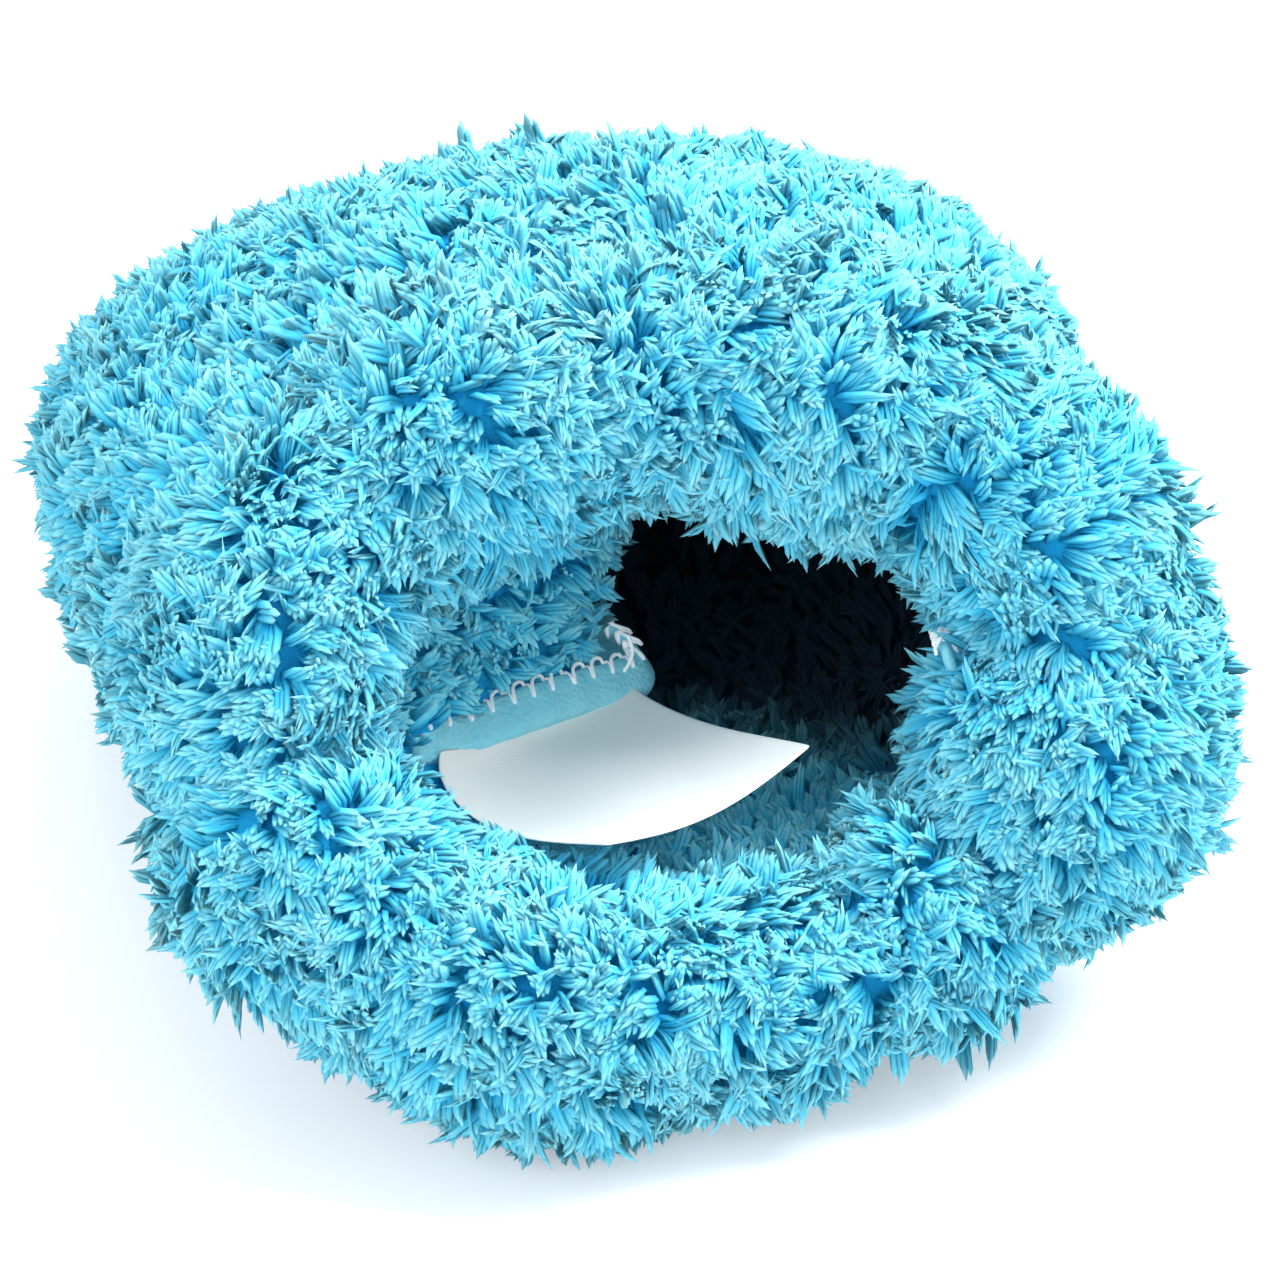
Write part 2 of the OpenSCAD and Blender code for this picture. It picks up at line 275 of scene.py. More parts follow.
def rollPlace(u, v, grow):
    s = rollSet
    n = np.stack([s["halfHeight"] * np.cos(u), s["halfWidth"] * np.sin(u)], -1)
    n /= np.linalg.norm(n, axis=-1, keepdims=True)
    normal = n[..., :1] * np.array([1.0, 0, 0]) + n[..., 1:] * leanIn
    swell = -s["gatherDepth"] * np.cos(s["gathers"] * u)
    for middle, half, depth in s["creases"]:
        off = (u - middle + math.pi) % (2 * math.pi) - math.pi
        swell = swell - depth * np.exp(-(off / half) ** 2)
    radial = (s["radial"] + swell + grow)[..., None]
    axial = (s["axial"] + swell + grow)[..., None]
    centre = mouthMiddle + np.cos(u)[..., None] * np.array([s["halfWidth"], 0, 0]) \
        + np.sin(u)[..., None] * s["halfHeight"] * leanIn
    return centre + radial * np.cos(v)[..., None] * normal + axial * np.sin(v)[..., None] * leanOut


def edgeTurn(u):
    return -rollSet["underTurn"] * np.maximum(-np.sin(u), 0)


def alongRows(x):
    rows = bodySet["rows"]
    at, values = rows[:, 0], rows[:, 1:]
    slopes = np.array([(values[min(i + 1, 3)] - values[max(i - 1, 0)]) / (at[min(i + 1, 3)] - at[max(i - 1, 0)])
                       for i in range(4)])
    low = np.clip(np.searchsorted(at, x) - 1, 0, 2)
    step = (at[low + 1] - at[low])[..., None]
    t = ((x - at[low]) / step[..., 0])[..., None]
    return ((2 * t ** 3 - 3 * t ** 2 + 1) * values[low] + (t ** 3 - 2 * t ** 2 + t) * step * slopes[low]
            + (3 * t ** 2 - 2 * t ** 3) * values[low + 1] + (t ** 3 - t ** 2) * step * slopes[low + 1])


def foldPush(d):
    s = bodySet
    return s["foldReach"] * np.exp(-((d - s["foldAt"]) / s["foldSpread"]) ** 2)


def bodyPlace(d, u, inset, folded):
    s = bodySet
    halfWidth, halfHeight, lean = np.moveaxis(alongRows(d), -1, 0)
    turn = s["endShare"] * np.maximum(d - s["roundFrom"], 0) / (s["end"] - inset - s["roundFrom"])
    turn = np.minimum(turn, 1)
    seamZ = halfHeight * np.cos(lean) - s["sag"]
    halfWidth = (halfWidth - inset) * (1 - turn ** s["planPower"]) ** (1 / s["planPower"])
    halfHeight = (halfHeight - inset) * np.sqrt(1 - turn ** 2)
    push = foldPush(d) if folded else 0 * d
    x = (halfWidth - push / 2) * np.cos(u) + push / 2
    outline = np.sqrt(np.maximum(1 - (x / halfWidth) ** 2, 0))
    rise = halfHeight * np.sign(np.sin(u)) * np.minimum(np.abs(np.sin(u)), outline)
    drop = s["foldDrop"] * push / s["foldReach"] * np.maximum(-np.cos(u), 0) ** 2
    z = np.maximum(seamZ + rise * np.cos(lean) - drop, inset)
    return np.stack([x, mouthMiddle[1] + d + rise * np.sin(lean), z], -1)


def sectionPlaces(inset, steps, endSteps):
    s = bodySet
    hand = s["first"] + (s["roundFrom"] - s["first"]) * (np.arange(steps) / steps) ** 1.3
    end = s["roundFrom"] + (s["end"] - inset - s["roundFrom"]) * np.sin(np.linspace(0, math.pi / 2, endSteps + 1))
    return np.concatenate([hand, end])


# skins: the knitted backing that carries the pile

def tidyUp(obj, name, smooth=True):
    obj.name = obj.data.name = name
    if smooth:
        obj.data.polygons.foreach_set("use_smooth", np.ones(len(obj.data.polygons), bool))
    return obj


def applyModifier(obj, kind, settings):
    bpy.context.view_layer.objects.active = obj
    made = obj.modifiers.new(kind.lower(), kind)
    for key, value in settings.items():
        setattr(made, key, value)
    bpy.ops.object.modifier_apply(modifier=made.name)


def deselectAll():
    bpy.ops.object.select_all(action="DESELECT")


def turnOutwards(obj, middle):
    mesh = obj.data
    away = sum((p.center - Vector(middle)).dot(p.normal) * p.area for p in mesh.polygons)
    if away < 0:
        mesh.flip_normals()
    mesh.update()


lumps = bpy.data.textures.new("lumps", "CLOUDS")
lumps.noise_scale = 0.028
lumps.noise_depth = 2


def skinSheet(name, startTurn, s):
    around, steps, endSteps = s["around"], s["steps"], s["endSteps"]
    places = sectionPlaces(s["inset"], steps, endSteps)
    rows = len(places)
    deselectAll()
    bpy.ops.mesh.primitive_grid_add(x_subdivisions=around, y_subdivisions=rows, size=2)
    obj = bpy.context.object
    flat = np.array([v.co[:2] for v in obj.data.vertices])
    column = np.rint((flat[:, 0] + 1) / 2 * around)
    row = np.rint((flat[:, 1] + 1) / 2 * rows).astype(int)
    u = startTurn + math.pi * column / around
    onRoll = rollPlace(u, s["rollAngle"] + edgeTurn(u), np.full(len(u), s["rollGrow"]))
    d = places[np.maximum(row - 1, 0)]
    onBody = bodyPlace(d, u, s["inset"], s["folded"])
    made = np.where((row == 0)[:, None], onRoll, onBody)
    seam = np.exp(-(np.minimum(column, around - column) / around * 180 / s["seamWidth"]) ** 2)
    middle = np.stack([0 * d, mouthMiddle[1] + d, np.full(len(d), 0.045)], -1)
    made += unit(middle - made) * (s["seamDip"] * seam * (row > 0))[:, None]
    obj.data.vertices.foreach_set("co", made.astype(np.float32).ravel())
    obj.data.update()
    turnOutwards(obj, (0, 0.04, 0.045))
    applyModifier(obj, "SUBSURF", {"levels": 1, "render_levels": 1})
    applyModifier(obj, "DISPLACE", {"texture": lumps, "texture_coords": "LOCAL",
                                    "strength": s["lumps"], "mid_level": 0.5})
    if s["folded"]:
        obj.data.flip_normals()
    return tidyUp(obj, name)


def skinRoll(name, s):
    deselectAll()
    bpy.ops.mesh.primitive_torus_add(major_radius=1, minor_radius=0.25,
                                     major_segments=s["around"], minor_segments=s["steps"])
    obj = bpy.context.object
    co = np.array([v.co for v in obj.data.vertices])
    u = np.arctan2(co[:, 1], co[:, 0])
    v = np.arctan2(co[:, 2], np.hypot(co[:, 0], co[:, 1]) - 1)
    made = rollPlace(u, v, np.full(len(u), s["grow"]))
    made[:, 2] = np.maximum(made[:, 2], s["lowest"])
    obj.data.vertices.foreach_set("co", made.astype(np.float32).ravel())
    obj.data.update()
    bpy.ops.object.mode_set(mode="EDIT")
    bpy.ops.mesh.select_all(action="SELECT")
    bpy.ops.mesh.normals_make_consistent(inside=False)
    bpy.ops.object.mode_set(mode="OBJECT")
    applyModifier(obj, "DISPLACE", {"texture": lumps, "texture_coords": "LOCAL",
                                    "strength": s["lumps"], "mid_level": 0.5})
    return tidyUp(obj, name)


outerSkin = {
    "inset": 0.0047, "rollAngle": math.radians(-58), "rollGrow": -0.0075, "folded": False,
    "around": 44, "steps": 20, "endSteps": 12, "lumps": 0.0035, "seamDip": 0.0025, "seamWidth": 5,
}
liningSkin = dict(outerSkin, inset=0.0185, rollAngle=math.radians(-122), folded=True, seamDip=0.0, lumps=0.0025)
rollSkin = {"grow": -0.0056, "around": 132, "steps": 40, "lowest": 0.0045, "lumps": 0.0035}

backSkin = skinSheet("backSkin", 0.0, outerSkin)
palmSkin = skinSheet("palmSkin", math.pi, outerSkin)
backLiningSkin = skinSheet("backLiningSkin", 0.0, liningSkin)
palmLiningSkin = skinSheet("palmLiningSkin", math.pi, liningSkin)
cuffSkin = skinRoll("cuffSkin", rollSkin)
print("skins shaped")


# label

labelSet = {
    "corners": [(-0.0325, -0.0664, 0.0422), (-0.0032, -0.0500, 0.0404),
                (0.0178, -0.0859, 0.0460), (-0.0142, -0.1033, 0.0462)],  # sewn near, sewn far, free far, free near
    "bulge": 0.0022,
    "dips": (0.0066, 0.0024, 0.0034, 0.0022),  # near edge, far edge, free edge, sewn edge
    "flat": (0.036, 0.040), "thickness": 0.00035,
    "across": 26, "down": 28,
}


def labelPlace(s, t):
    a, b, c, d = (np.array(p) for p in labelSet["corners"])
    near, far, free, sewn = labelSet["dips"]
    s, t = s[:, None], t[:, None]
    place = (1 - t) * ((1 - s) * a + s * b) + t * ((1 - s) * d + s * c)
    dip = np.sin(math.pi * t ** 0.6) * (near * (1 - s) + far * s) + free * np.sin(math.pi * s) * t ** 1.5 \
        + sewn * np.sin(math.pi * s ** 0.8) * (1 - t)
    ripple = 0.0006 * np.sin(7 * s + 2 * t) * np.sin(math.pi * t)
    bulge = labelSet["bulge"] * np.sin(math.pi * t ** 0.5) * (1 - s) ** 2
    return place - (dip + ripple) * np.array([0.0, 0.0, 1.0]) - bulge * np.array([1.0, 0.0, 0.0])


def makeLabel(s):
    deselectAll()
    bpy.ops.mesh.primitive_grid_add(x_subdivisions=s["across"], y_subdivisions=s["down"], size=2)
    obj = bpy.context.object
    flat = (np.array([v.co[:2] for v in obj.data.vertices]) + 1) / 2
    made = labelPlace(flat[:, 0], 1 - flat[:, 1])
    obj.data.vertices.foreach_set("co", made.astype(np.float32).ravel())
    obj.data.update()
    applyModifier(obj, "SOLIDIFY", {"thickness": s["thickness"], "offset": 0.0})
    applyModifier(obj, "SUBSURF", {"levels": 1, "render_levels": 1})
    return tidyUp(obj, "label")


label = makeLabel(labelSet)


# seam allowance and its overlock thread

seamSet = {
    "inset": 0.0250, "foot": 0.0060, "width": 0.0060, "thickness": 0.0016,
    "count": 90, "last": 0.170, "early": 0.040, "drop": 0.0045, "dropOver": 0.018,
    "standOff": 0.0032, "tilt": 0.75,
}
threadSet = {
    "tailStart": (-0.0034, -0.0506, 0.0406), "tailWay": (0.0014, -0.0008, 0.0068), "tailBulge": 0.0012,
    "pitch": 0.0035, "radius": 0.00028, "bite": 0.0013, "loop": 0.0007, "proud": 0.0008,
}


def seamPlace(d, height, side):
    halfHeight = alongRows(d)[..., 1] - seamSet["inset"]
    u = math.pi if side == "left" else 0.0
    climb = np.arcsin(np.clip(height / halfHeight, -0.9, 0.9)) * (-1 if side == "left" else 1)
    return bodyPlace(d, u + climb, seamSet["inset"], True)


def seamFrame(side):
    s = seamSet
    first = bodySet["first"]
    d = np.concatenate([np.linspace(first - s["early"], first, 25)[:-1], np.linspace(first, s["last"], s["count"])])
    base = seamPlace(np.maximum(d, first), 0 * d, side)
    top = seamPlace(np.maximum(d, first), 0 * d + s["width"], side)
    early = np.minimum(d - first, 0)
    mouthEdge = rollPlace(np.full(1, math.pi if side == "left" else 0.0), np.full(1, math.radians(-133)),
                          np.zeros(1))[0]
    toward = unit(mouthEdge - base[24])
    base = base - early[:, None] * toward
    top = top - early[:, None] * toward
    way = unit(np.gradient(base, axis=0) * np.array([1, 1, 0]))
    inward = np.stack([way[:, 1], -way[:, 0], 0 * d], -1) * (1 if side == "left" else -1)
    lower = s["drop"] * np.exp(-np.maximum(d - first + 0.030, 0) / s["dropOver"]) if side == "left" else 0 * d
    base = base + s["standOff"] * inward - lower[:, None] * np.array([0, 0, 1])
    top = top + s["standOff"] * inward - lower[:, None] * np.array([0, 0, 1])
    return base, unit(unit(top - base) - (s["tilt"] * inward if side == "left" else 0)), inward


def makeAllowance(name, side, s):
    base, up, inward = seamFrame(side)
    deselectAll()
    count = len(base)
    bpy.ops.mesh.primitive_grid_add(x_subdivisions=count - 1, y_subdivisions=6, size=2)
    obj = bpy.context.object
    flat = np.array([v.co[:2] for v in obj.data.vertices])
    i = np.rint((flat[:, 0] + 1) / 2 * (count - 1)).astype(int)
    h = (flat[:, 1] + 1) / 2
    height = -s["foot"] + h * (s["foot"] + s["width"])
    sink = np.minimum(height, 0) * 0.75
    made = base[i] + up[i] * (height - sink * 0.6)[:, None] + inward[i] * sink[:, None]
    made += inward[i] * (0.0004 * np.sin(i * 1.9) * h)[:, None]
    obj.data.vertices.foreach_set("co", made.astype(np.float32).ravel())
    obj.data.update()
    applyModifier(obj, "SOLIDIFY", {"thickness": s["thickness"], "offset": 0.0})
    applyModifier(obj, "SUBSURF", {"levels": 1, "render_levels": 1})
    return tidyUp(obj, name)


def makeThread(name, side, s, rng):
    base, up, inward = seamFrame(side)
    steps = np.concatenate([[0], np.cumsum(np.linalg.norm(np.diff(base, axis=0), axis=1))])
    stitches = int(steps[-1] / s["pitch"])
    half = seamSet["thickness"] / 2 + s["proud"]
    points = []

    def at(distance, height, out):
        b, n, w = (np.array([np.interp(distance, steps, v[:, k]) for k in range(3)]) for v in (base, up, inward))
        return b + n * height + w * out

    width = seamSet["width"]
    for k in range(stitches):
        start = k * s["pitch"] + rng.normal(0, 0.00022)
        top = width + s["loop"] * (1 + rng.normal(0, 0.15))
        for share, height, out in (
                (0.00, width - s["bite"], half), (0.02, width - s["bite"] * 0.4, half),
                (0.06, width - 0.0002, half * 0.9), (0.22, top, half * 0.25), (0.50, top + 0.0003, 0.0),
                (0.78, top, -half * 0.25), (0.94, width - 0.0002, -half * 0.6), (0.97, width * 0.6, -half),
                (0.985, width, -half * 0.3), (0.99, width + 0.0002, half * 0.6)):
            points.append(at(start + share * s["pitch"], height, out))
    lines = [points]
    if side == "left":
        t = np.linspace(0, 1, 9)[:, None]
        lines.append(np.array(s["tailStart"]) + t * np.array(s["tailWay"])
                     + np.sin(math.pi * t) * np.array([s["tailBulge"], 0, 0]))
    curve = bpy.data.curves.new(name, "CURVE")
    curve.dimensions = "3D"
    curve.bevel_depth = s["radius"]
    curve.bevel_resolution = 1
    for points in lines:
        line = curve.splines.new("NURBS")
        line.points.add(len(points) - 1)
        line.points.foreach_set("co", np.concatenate([np.array(points), np.ones((len(points), 1))], 1).ravel())
        line.order_u = 3
        line.resolution_u = 2
        line.use_endpoint_u = True
    obj = bpy.data.objects.new(name, curve)
    scene.collection.objects.link(obj)
    deselectAll()
    obj.select_set(True)
    bpy.context.view_layer.objects.active = obj
    bpy.ops.object.convert(target="MESH")
    return tidyUp(bpy.context.object, name)


leftAllowance = makeAllowance("leftAllowance", "left", seamSet)
rightAllowance = makeAllowance("rightAllowance", "right", seamSet)
leftThread = makeThread("leftOverlockThread", "left", threadSet, np.random.default_rng(11))
rightThread = makeThread("rightOverlockThread", "right", threadSet, np.random.default_rng(12))
print("label and seams made")


# pile

lockSet = {
    "strands": [  # place across the lock and through it, height of the tip
        (-0.58, 0.10, 0.86), (0.0, -0.14, 1.00), (0.58, 0.12, 0.90)],
    "sides": 3,
    "rings": [(0.0, 0.26, 0.45), (0.46, 0.48, 0.95), (0.86, 0.44, 1.0)],  # height, strand's radius, spread
    "tipSpread": 0.90,
}


def modelLock(s):
    deselectAll()
    made = bpy.data.meshes.new("lock")
    obj = bpy.data.objects.new("lock", made)
    scene.collection.objects.link(obj)
    bpy.context.view_layer.objects.active = obj
    bpy.ops.object.mode_set(mode="EDIT")
    for x, y, high in s["strands"]:
        _, radius, spread = s["rings"][0]
        bpy.ops.mesh.primitive_circle_add(vertices=s["sides"], radius=radius, location=(x * spread, y * spread, 0))
        for (low, small, narrow), (up, large, wide) in zip(s["rings"], s["rings"][1:]):
            bpy.ops.mesh.extrude_region_move(TRANSFORM_OT_translate={
                "value": (x * (wide - narrow), y * (wide - narrow), high * (up - low))})
            bpy.ops.transform.resize(value=(large / small, large / small, 1))
        up, large, wide = s["rings"][-1]
        bpy.ops.mesh.extrude_region_move(TRANSFORM_OT_translate={
            "value": (x * (s["tipSpread"] - wide), y * (s["tipSpread"] - wide), high * (1 - up))})
        bpy.ops.mesh.merge(type="CENTER")
    bpy.ops.mesh.select_all(action="SELECT")
    bpy.ops.mesh.normals_make_consistent(inside=False)
    bpy.ops.object.mode_set(mode="OBJECT")
    points = np.array([v.co for v in made.vertices])
    faces = [list(p.vertices) for p in made.polygons]
    bpy.data.objects.remove(obj)
    return {"points": points, "faces": faces, "across": points[:, 0]}


def bulkMesh(name, places, faces, count, attribute, facing):
    corners = np.concatenate([np.array(f) for f in faces])
    sizes = np.array([len(f) for f in faces])
    perLock = len(places) // count
    offset = (np.arange(count) * perLock)[:, None]
    mesh = bpy.data.meshes.new(name)
    mesh.vertices.add(len(places))
    mesh.vertices.foreach_set("co", places.astype(np.float32).ravel())
    mesh.loops.add(len(corners) * count)
    mesh.loops.foreach_set("vertex_index", (corners[None] + offset).astype(np.int32).ravel())
    starts = np.concatenate([[0], np.cumsum(sizes)[:-1]])
    mesh.polygons.add(len(sizes) * count)
    mesh.polygons.foreach_set("loop_start", (starts[None] + (np.arange(count) * len(corners))[:, None])
                              .astype(np.int32).ravel())
    mesh.polygons.foreach_set("use_smooth", np.ones(len(sizes) * count, bool))
    mesh.update(calc_edges=True)
    made = mesh.attributes.new("lock", "FLOAT_VECTOR", "POINT")
    made.data.foreach_set("vector", attribute.astype(np.float32).ravel())
    made = mesh.attributes.new("pileFacing", "FLOAT_VECTOR", "POINT")
    made.data.foreach_set("vector", facing.astype(np.float32).ravel())
    obj = bpy.data.objects.new(name, mesh)
    scene.collection.objects.link(obj)
    return obj


def waves(places, scale, seed):
    rng = np.random.default_rng(seed)
    total = np.zeros((len(places), 3))
    for _ in range(5):
        ways = rng.normal(0, 1, (3, 3)) / scale
        total += np.sin(places @ ways + rng.random(3) * 6.3)
    return total / 2.2


def obstacleTree(obj):
    mesh = obj.data
    return BVHTree.FromPolygons([v.co[:] for v in mesh.vertices], [list(p.vertices) for p in mesh.polygons])


obstacles = [  # surface, room that locks leave to it, way to look for it from a tip, how far
    (obstacleTree(label), 0.0024, (0, 0, -1), 0.016),
    (obstacleTree(leftAllowance), 0.0006, (-0.42, 0.86, -0.3), 0.009),
]
obstacleBoxes = [(-0.045, 0.030), (-0.115, 0.0), (0.020, 0.065)]  # x, y and z that the label and strip lie in


def plantPile(name, skins, lock, s, parts):
    rng = np.random.default_rng(s["seed"])
    corners, normals = [], []
    for skin in skins:
        mesh = skin.data
        mesh.calc_loop_triangles()
        co = np.empty(len(mesh.vertices) * 3, np.float32)
        mesh.vertices.foreach_get("co", co)
        vn = np.empty(len(mesh.vertices) * 3, np.float32)
        mesh.vertices.foreach_get("normal", vn)
        tri = np.empty(len(mesh.loop_triangles) * 3, np.int32)
        mesh.loop_triangles.foreach_get("vertices", tri)
        tri = tri.reshape(-1, 3)
        corners.append(co.reshape(-1, 3)[tri])
        normals.append(vn.reshape(-1, 3)[tri])
    corners, normals = np.concatenate(corners).astype(float), np.concatenate(normals).astype(float)
    area = np.linalg.norm(np.cross(corners[:, 1] - corners[:, 0], corners[:, 2] - corners[:, 0]), axis=1) / 2
    weight = area * s["thickness"](corners.mean(1), unit(normals.mean(1)))
    spread = np.cumsum(weight) / weight.sum()
    count = int(s["count"] * (1))
    pick = np.searchsorted(spread, (np.arange(count) + rng.random(count)) / count).clip(0, len(area) - 1)
    a, b = np.sqrt(rng.random(count)), rng.random(count)
    share = np.stack([1 - a, a * (1 - b), a * b], -1)[..., None]
    root = (corners[pick] * share).sum(1)
    normal = unit((normals[pick] * share).sum(1))

    tufts = rng.choice(count, int(area.sum() / s["tuft"] ** 2), replace=False)
    tree = KDTree(len(tufts))
    for k, t in enumerate(tufts):
        tree.insert(root[t], k)
    tree.balance()
    own = np.array([tree.find(p)[1] for p in root])
    tuftRoot = root[tufts]
    tuftWay = rng.normal(0, 1, (len(tufts), 3))
    tuftLong = 1 + rng.normal(0, s["tuftUneven"], len(tufts))
    tuftTone = rng.random(len(tufts))

    def tangent(v):
        return v - normal * dot(v, normal)

    comb = np.array(s["combWay"]) + 0 * root
    outward = unit(tangent(root - mouthMiddle))
    lean = s["comb"] * unit(tangent(comb)) + s["outward"] * outward + s["tuftLean"] * tangent(tuftWay[own]) \
        + s["drift"] * tangent(waves(root, s["driftSize"], s["seed"])) \
        + s["stray"] * tangent(rng.normal(0, 1, root.shape))
    gather = tangent(tuftRoot[own] - root) / s["tuft"]
    first = unit(normal + s["footLean"] * lean)
    last = unit(s["rise"] * normal + lean + s["gather"] * gather)
    long = s["length"] * tuftLong[own] * (1 + rng.normal(0, s["uneven"], count)).clip(*s["lengthRange"])
    wide = s["width"] / 2 * (1 + rng.normal(0, s["widthUneven"], count)).clip(*s["widthRange"])
    thick = wide * rng.uniform(*s["flatness"], count)
    middle = unit(first + last)
    side = unit(np.cross(middle, normal + 1e-4 * rng.normal(0, 1, root.shape)))
    face = np.cross(side, middle)
    spin = rng.normal(0, s["spin"], count)[:, None]
    side = side * np.cos(spin) + face * np.sin(spin)
    curl = rng.normal(0, s["curl"], count)

    box = np.array(obstacleBoxes)
    tip = root + long[:, None] * (first + last) / 2
    near = np.nonzero(((tip > box[:, 0]) & (tip < box[:, 1])).all(1))[0]
    for k in near:
        way = Vector(tip[k] - root[k])
        reach = way.length
        for hits, room, fromWay, over in obstacles:
            start = Vector(tip[k]) - s["tipBack"] * Vector(fromWay)
            found = [hits.ray_cast(Vector(root[k] + step * wide[k] * side[k]), way / reach, reach + room)[3]
                     for step in (-1, 0, 1)]
            found = [far for far in found if far is not None]
            if found:
                long[k] = min(long[k], max((min(found) - room) / reach * long[k], s["least"]))
            elif hits.ray_cast(start, Vector(fromWay), over)[0] is not None:
                long[k] = 0

    points = lock["points"]
    t = points[:, 2][None, :, None]
    centre = root[:, None] + long[:, None, None] * ((t - t ** 2 / 2) * first[:, None] + t ** 2 / 2 * last[:, None])
    centre = centre + (curl * long)[:, None, None] * t ** 2 * side[:, None]
    tangentWay = unit((1 - t) * first[:, None] + t * last[:, None])
    flatWay = np.cross(side[:, None], tangentWay)
    places = centre + side[:, None] * (wide[:, None] * points[:, 0])[..., None] \
        + flatWay * (thick[:, None] * points[:, 1])[..., None]
    places -= normal[:, None] * s["sink"]
    bottom, uneven, step = s["floorGap"]
    lowest = bottom + uneven * rng.random(count)[:, None]
    places[..., 2] = np.maximum(places[..., 2], lowest + step * points[:, 2])
    tone = 0.5 * rng.random(count) + 0.5 * tuftTone[own]
    attribute = np.stack([np.broadcast_to(points[:, 2], places.shape[:2]),
                          np.broadcast_to(lock["across"], places.shape[:2]),
                          np.broadcast_to(tone[:, None], places.shape[:2])], -1)
    facing = np.broadcast_to(unit(normal + s["facingLean"] * middle)[:, None], places.shape)
    keep = long > s["shortest"]
    order = np.argsort(s["order"](root))
    order = order[keep[order]]
    made = []
    for k, group in enumerate(np.array_split(order, parts)):
        made.append(bulkMesh(f"{name}{k + 1}" if parts > 1 else name, places[group].reshape(-1, 3),
                             lock["faces"], len(group), attribute[group].reshape(-1, 3),
                             facing[group].reshape(-1, 3)))
    print(name, len(order), "locks")
    return made


def roundMouth(places):
    off = places - mouthMiddle
    return np.arctan2(off @ leanIn, off[:, 0])


coverSet = {  # share of the locks that each part keeps
    "cuffBehind": -0.55, "cuffUnder": -0.30, "cuffStart": -0.095, "cuffLow": 0.050,
    "cuffBehindShare": 0.55, "cuffUnderShare": 0.05, "cuffFloor": 0.010, "cuffFloorShare": 0.6,
    "panelUnder": -0.75, "panelUnderShare": 0.30,
    "liningSeen": -0.030, "liningSeenSide": 0.035, "liningDeep": 0.01, "liningShares": (1.0, 0.30, 0.10),
}


def cuffThickness(places, normals):
    c = coverSet
    out = normals @ leanOut
    behind = (out < c["cuffBehind"]) & (places[:, 1] > c["cuffStart"])
    under = (out < c["cuffUnder"]) & (places[:, 1] > c["cuffStart"]) & (places[:, 2] < c["cuffLow"])
    share = np.where(under, c["cuffUnderShare"], np.where(behind, c["cuffBehindShare"], 1.0))
    return share * np.where(places[:, 2] < c["cuffFloor"], c["cuffFloorShare"], 1.0)


def panelThickness(places, normals):
    return np.where(normals[:, 2] < coverSet["panelUnder"], coverSet["panelUnderShare"], 1.0)


def liningThickness(places, normals):
    c = coverSet
    seenShare, nearShare, deepShare = c["liningShares"]
    seen = (places[:, 1] < c["liningSeen"]) & (places[:, 0] < c["liningSeenSide"])
    return np.where(seen, seenShare, np.where(places[:, 1] < c["liningDeep"], nearShare, deepShare))


pileSet = {
    "length": 0.0078, "width": 0.0024, "sink": 0.0006, "tuft": 0.0055,
    "combWay": (0.0, -0.1, -1.0), "comb": 0.34, "outward": 0.08, "tuftLean": 0.60, "drift": 0.45, "stray": 0.40,
    "rise": 0.30, "gather": 0.45, "uneven": 0.12, "curl": 0.24,
    "quickShare": 0.6, "tuftUneven": 0.10, "driftSize": 0.009, "footLean": 0.35,
    "lengthRange": (0.6, 1.35), "widthUneven": 0.22, "widthRange": (0.5, 1.6),
    "flatness": (0.45, 0.8), "spin": 0.75,
    "facingLean": 0.4, "tipBack": 0.0018,
    "least": 0.0004, "shortest": 0.0015,  # a lock cut to the first is left out by the second
    "floorGap": (0.0003, 0.0012, 0.0004),  # lowest place, how uneven it is, rise from foot to tip
}
cuffPile = dict(pileSet, seed=21, count=16200, thickness=cuffThickness, order=roundMouth)
panelPile = dict(pileSet, seed=22, count=17000, width=0.0029, thickness=panelThickness, combWay=(0, 1.0, -0.6),
                 order=lambda places: places[:, 1])
liningPile = dict(pileSet, seed=23, count=6600, width=0.0024, length=0.0066, thickness=liningThickness,
                  combWay=(0, 0.3, -1.0), comb=0.2, order=lambda places: places[:, 1])
lock = modelLock(lockSet)
cuffPiles = plantPile("cuffPile", [cuffSkin], lock, cuffPile, 4)
panelPiles = plantPile("panelPile", [backSkin, palmSkin], lock, panelPile, 5)
liningPiles = plantPile("liningPile", [backLiningSkin, palmLiningSkin], lock, liningPile, 2)


# finishes

# the pile's colour runs from root to tip: the darker root and deep blues are painted shade of the pile's depths,
# the pale and tip cyans painted highlight on the tips
pileColours = {
    "root": (0.006, 0.330, 0.720), "deep": (0.020, 0.500, 0.900), "middle": (0.090, 0.670, 0.960),
    "pale": (0.270, 0.820, 0.980), "tip": (0.460, 0.910, 0.990), "softness": 0.72,
    # painted light: the pile glows faintly in its own colour, filling its shade with saturated blue
    "paintedGlow": 0.06,
}
liningColours = dict(pileColours, paintedCavityShade={  # painted shade: deep in the hand cavity the pile is darkened nearly to black, standing in for the shadow inside
    "way": (0.6, 0.857, -0.350), "from": -0.0560, "to": -0.0220, "colour": (0.012, 0.030, 0.050, 1)})


# painted shade: darkens a colour towards near-black along a way into the hand cavity, standing in for the shadow
# deep inside it
def paintCavityShade(shader, colour, c):
    cavityShade = c.get("paintedCavityShade")
    if not cavityShade:
        return colour
    inside = shader.node("ShaderNodeVectorMath", {"operation": "DOT_PRODUCT"},
                         {0: shader.objectPlace(), 1: cavityShade["way"]}, out="Value")
    fade = shader.node("ShaderNodeMapRange", {"interpolation_type": "SMOOTHSTEP"},
                       {"Value": inside, "From Min": cavityShade["from"], "From Max": cavityShade["to"]})
    return shader.mix(fade, colour, cavityShade["colour"])


